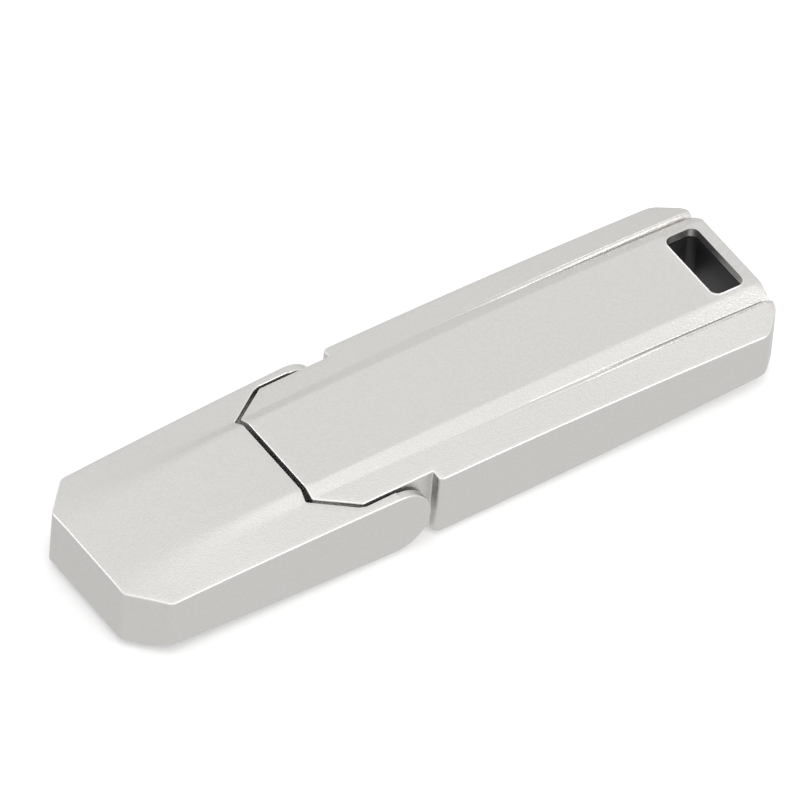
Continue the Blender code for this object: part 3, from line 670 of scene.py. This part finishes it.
def make_cap_shell():
    """Hollow cap with two cheeks, a drafted notch for the tongue, and an open underside."""
    skin = Skin()
    outline, (near_tip, near_notch, far_notch, far_tip) = cap_outline()
    outline = [(notch_back(x, y, cap_roof(x, y)), y) if near_notch < i < far_notch else (x, y)
               for i, (x, y) in enumerate(outline)]
    top = rounded_rings(outline, EDGE, cap_roof)
    skin.wall(top[::-1], bands=(0, 1, 2))
    fine = lattice(CAP_END_X, CAP_GRID_END_X, CAP_GRID_STEP, CAP_Y)
    skin.patch(inset(outline, EDGE), [], fine, cap_roof)

    outer = list(range(far_tip, len(outline))) + list(range(near_tip + 1))
    edge = top[0]
    foot = [(outline[i][0], outline[i][1], cap_floor(*outline[i])) for i in outer]
    upper = [(edge[i][0], edge[i][1], max(0.0, edge[i][2] - EDGE)) for i in outer]
    lower = [(x, y, min(-SEAM, z + EDGE)) for x, y, z in foot]
    skin.wall([[edge[i] for i in outer], upper, lower, foot], closed=False)

    shared = {i: (upper[k], lower[k]) for k, i in enumerate(outer) if i in (near_tip, far_tip)}
    for run in (range(near_tip, near_notch + 1), range(far_notch, far_tip + 1)):
        base = at_height([outline[i] for i in run], cap_floor)
        rows = [shared.get(i, ((x, y, min(cap_ceiling(x, y), edge[i][2] - SEAM)), (x, y, z)))
                for i, (x, y, z) in zip(run, base)]
        middle, low = ([row[k] for row in rows] for k in (0, 1))
        skin.wall([[edge[i] for i in run], middle, low, base], closed=False)

    notch = list(range(near_notch, far_notch + 1))
    under = [(x - NOTCH_DRAFT * ROOF_WALL * notch_ease(y), y)
             for x, y in (outline[i] for i in notch)]
    skin.wall([[edge[i] for i in notch], at_height(under, cap_ceiling)], closed=False)

    cavity = cavity_run(outline[far_notch], outline[near_notch])
    skin.wall([at_height(cavity, cap_floor), at_height(cavity, cap_ceiling)], closed=False)
    coarse = lattice(CAP_END_X, CAVITY_GRID_END_X, COARSE_GRID_STEP, COARSE_Y)
    skin.patch(cavity[:-1] + under[:-1], [], coarse, cap_ceiling, INNER_GRID_GAP)
    near_cheek = [outline[i] for i in range(near_notch, near_tip, -1)]
    far_cheek = [outline[i] for i in range(far_tip, far_notch, -1)]
    rim = [outline[i] for i in outer[:-1]] + [outline[near_tip]]
    rim += near_cheek[::-1] + cavity[::-1] + far_cheek[::-1]
    clean = [p for i, p in enumerate(rim) if math.dist(p, rim[i - 1]) > SAME_SPOT]
    skin.patch(clean, [], [], cap_floor)
    return skin.build("cap_casing")


def dress_nodes():
    """Gives every CAD node the material of its slot."""
    for row in frame["record"]["subparts"]:
        node = frame["nodes"][row["node"]]
        node.data.materials.clear()
        node.data.materials.append(LOOK[row["material_slot"]])


def cutter_box(low, high):
    """Box between two corners, to cut with."""
    corners = [(x, y, z) for z in (low[2], high[2]) for x, y in
               ((low[0], low[1]), (high[0], low[1]), (high[0], high[1]), (low[0], high[1]))]
    skin = Skin()
    skin.wall([corners[:4], corners[4:]])
    skin.faces += [(0, 1, 2, 3), (4, 5, 6, 7)]
    return skin.build("cutter")


def cutter_rod(low, high):
    """Rod on the hinge axis between two places along Y, to cut with."""
    angles = [2 * math.pi * i / BORE_STEPS for i in range(BORE_STEPS)]
    ring = [(HINGE_X + BORE_RADIUS * math.cos(a), BORE_RADIUS * math.sin(a)) for a in angles]
    skin = Skin()
    skin.wall([[(x, low, z) for x, z in ring], [(x, high, z) for x, z in ring]])
    skin.faces += [tuple(range(BORE_STEPS)), tuple(range(BORE_STEPS, 2 * BORE_STEPS))]
    return skin.build("cutter")


def cut(target, cutter):
    """Takes the cutter's volume out of the target, and removes the cutter."""
    modifier = target.modifiers.new("cut", "BOOLEAN")
    modifier.solver = "EXACT"
    modifier.object = cutter
    view = bpy.context.evaluated_depsgraph_get()
    result = bpy.data.meshes.new_from_object(target.evaluated_get(view))
    target.modifiers.clear()
    target.data = result
    bpy.data.objects.remove(cutter, do_unlink=True)


def finish_shell(made, body, node):
    """Shades a shell smooth between its sharp edges and puts it in its node's place."""
    for face in made.data.polygons:
        face.use_smooth = True
    made.data.set_sharp_from_angle(angle=math.radians(SHARP_ANGLE))
    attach(made, body)
    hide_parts(node)


def make_shells():
    """The two casings, with their window and hinge bores cut."""
    casing = make_body_shell()
    cut(casing, cutter_box((WINDOW_X[0], -WINDOW_HALF, WINDOW_Z[0]),
                           (WINDOW_X[1], WINDOW_HALF, WINDOW_Z[1])))
    for side in (-1, 1):
        cut(casing, cutter_rod(*sorted(side * y for y in BODY_BORE)))
    finish_shell(casing, "handle", "body_shell")
    cap = make_cap_shell()
    for side in (-1, 1):
        cut(cap, cutter_rod(*sorted(side * y for y in CAP_BORE)))
    finish_shell(cap, "cap", "cap_shell")


def make_camera():
    """Long lens, raised to the near side of the free end and rolled a little."""
    azimuth, elevation, roll = (math.radians(v) for v in (CAMERA_AZIMUTH, CAMERA_ELEVATION,
                                                          CAMERA_ROLL))
    back = Vector((math.sin(azimuth) * math.cos(elevation),
                   -math.cos(azimuth) * math.cos(elevation), math.sin(elevation)))
    level = Vector((math.cos(azimuth), math.sin(azimuth), 0.0))
    upright = back.cross(level)
    right = level * math.cos(roll) + upright * math.sin(roll)
    up = upright * math.cos(roll) - level * math.sin(roll)
    place = Vector((0.0, 0.0, REST * MM)) + back * CAMERA_DISTANCE
    place = place - right * CAMERA_LEFT * MM + up * CAMERA_UP * MM
    camera = bpy.data.objects.new("camera", bpy.data.cameras.new("camera"))
    bpy.context.scene.collection.objects.link(camera)
    camera.matrix_world = Matrix(((right.x, up.x, back.x, place.x),
                                  (right.y, up.y, back.y, place.y),
                                  (right.z, up.z, back.z, place.z),
                                  (0, 0, 0, 1)))
    camera.data.lens = CAMERA_LENS
    camera.data.sensor_width = CAMERA_SENSOR
    camera.data.clip_start, camera.data.clip_end = CAMERA_CLIP
    bpy.context.scene.camera = camera


def area_light(name, place, size, power):
    """Rectangular light that faces the origin."""
    data = bpy.data.lights.new(name, "AREA")
    data.shape = "RECTANGLE"
    data.size, data.size_y = size
    data.energy = power
    lamp = bpy.data.objects.new(name, data)
    bpy.context.scene.collection.objects.link(lamp)
    lamp.location = place
    lamp.rotation_mode = "QUATERNION"
    lamp.rotation_quaternion = (-Vector(place)).to_track_quat("-Z", "Y")


def make_stage():
    """Pale floor under the studio dome."""
    mesh = bpy.data.meshes.new("floor")
    corners = ((-1, -1), (1, -1), (1, 1), (-1, 1))
    spots = [(FLOOR_HALF * x, FLOOR_HALF * y, FLOOR_Z) for x, y in corners]
    mesh.from_pydata(spots, [], [(0, 1, 2, 3)])
    floor = bpy.data.objects.new("floor", mesh)
    bpy.context.scene.collection.objects.link(floor)
    paint = bpy.data.materials.new("floor_paint")
    paint.use_nodes = True
    shader = paint.node_tree.nodes["Principled BSDF"]
    shader.inputs["Base Color"].default_value = (FLOOR_LEVEL, FLOOR_LEVEL, FLOOR_LEVEL, 1.0)
    shader.inputs["Roughness"].default_value = FLOOR_ROUGHNESS
    shader.inputs["Emission Color"].default_value = (1.0, 1.0, 1.0, 1.0)
    shader.inputs["Emission Strength"].default_value = FLOOR_GLOW
    mesh.materials.append(paint)
    floor.visible_glossy = False
    make_sky()


def make_sky():
    """Studio dome: brightest overhead towards the near side, dim at the far horizon."""
    world = bpy.data.worlds.new("studio")
    bpy.context.scene.world = world
    world.use_nodes = True
    nodes, links = world.node_tree.nodes, world.node_tree.links
    place = nodes.new("ShaderNodeTexCoord")
    facing = nodes.new("ShaderNodeVectorMath")
    facing.operation = "DOT_PRODUCT"
    facing.inputs[1].default_value = SKY_AXIS
    links.new(place.outputs["Generated"], facing.inputs[0])
    spread = nodes.new("ShaderNodeMapRange")
    spread.inputs["From Min"].default_value = -1.0
    links.new(facing.outputs["Value"], spread.inputs["Value"])
    ramp = nodes.new("ShaderNodeValToRGB")
    stops = ramp.color_ramp.elements
    stops[0].position, stops[1].position = 0.0, 1.0
    stops[0].color = SKY_BOTTOM
    stops[1].color = SKY_TOP
    for position, level in SKY_LEVELS:
        stop = stops.new(position)
        stop.color = (level, level, level * SKY_BLUE, 1.0)
    links.new(spread.outputs["Result"], ramp.inputs["Fac"])
    area_light("near_strip", *NEAR_STRIP)
    area_light("end_strip", *END_STRIP)
    back = nodes["Background"]
    links.new(ramp.outputs["Color"], back.inputs["Color"])
    back.inputs["Strength"].default_value = 1.0


dress_nodes()
bpy.context.scene.view_settings.view_transform = "Standard"
make_shells()
make_camera()
make_stage()
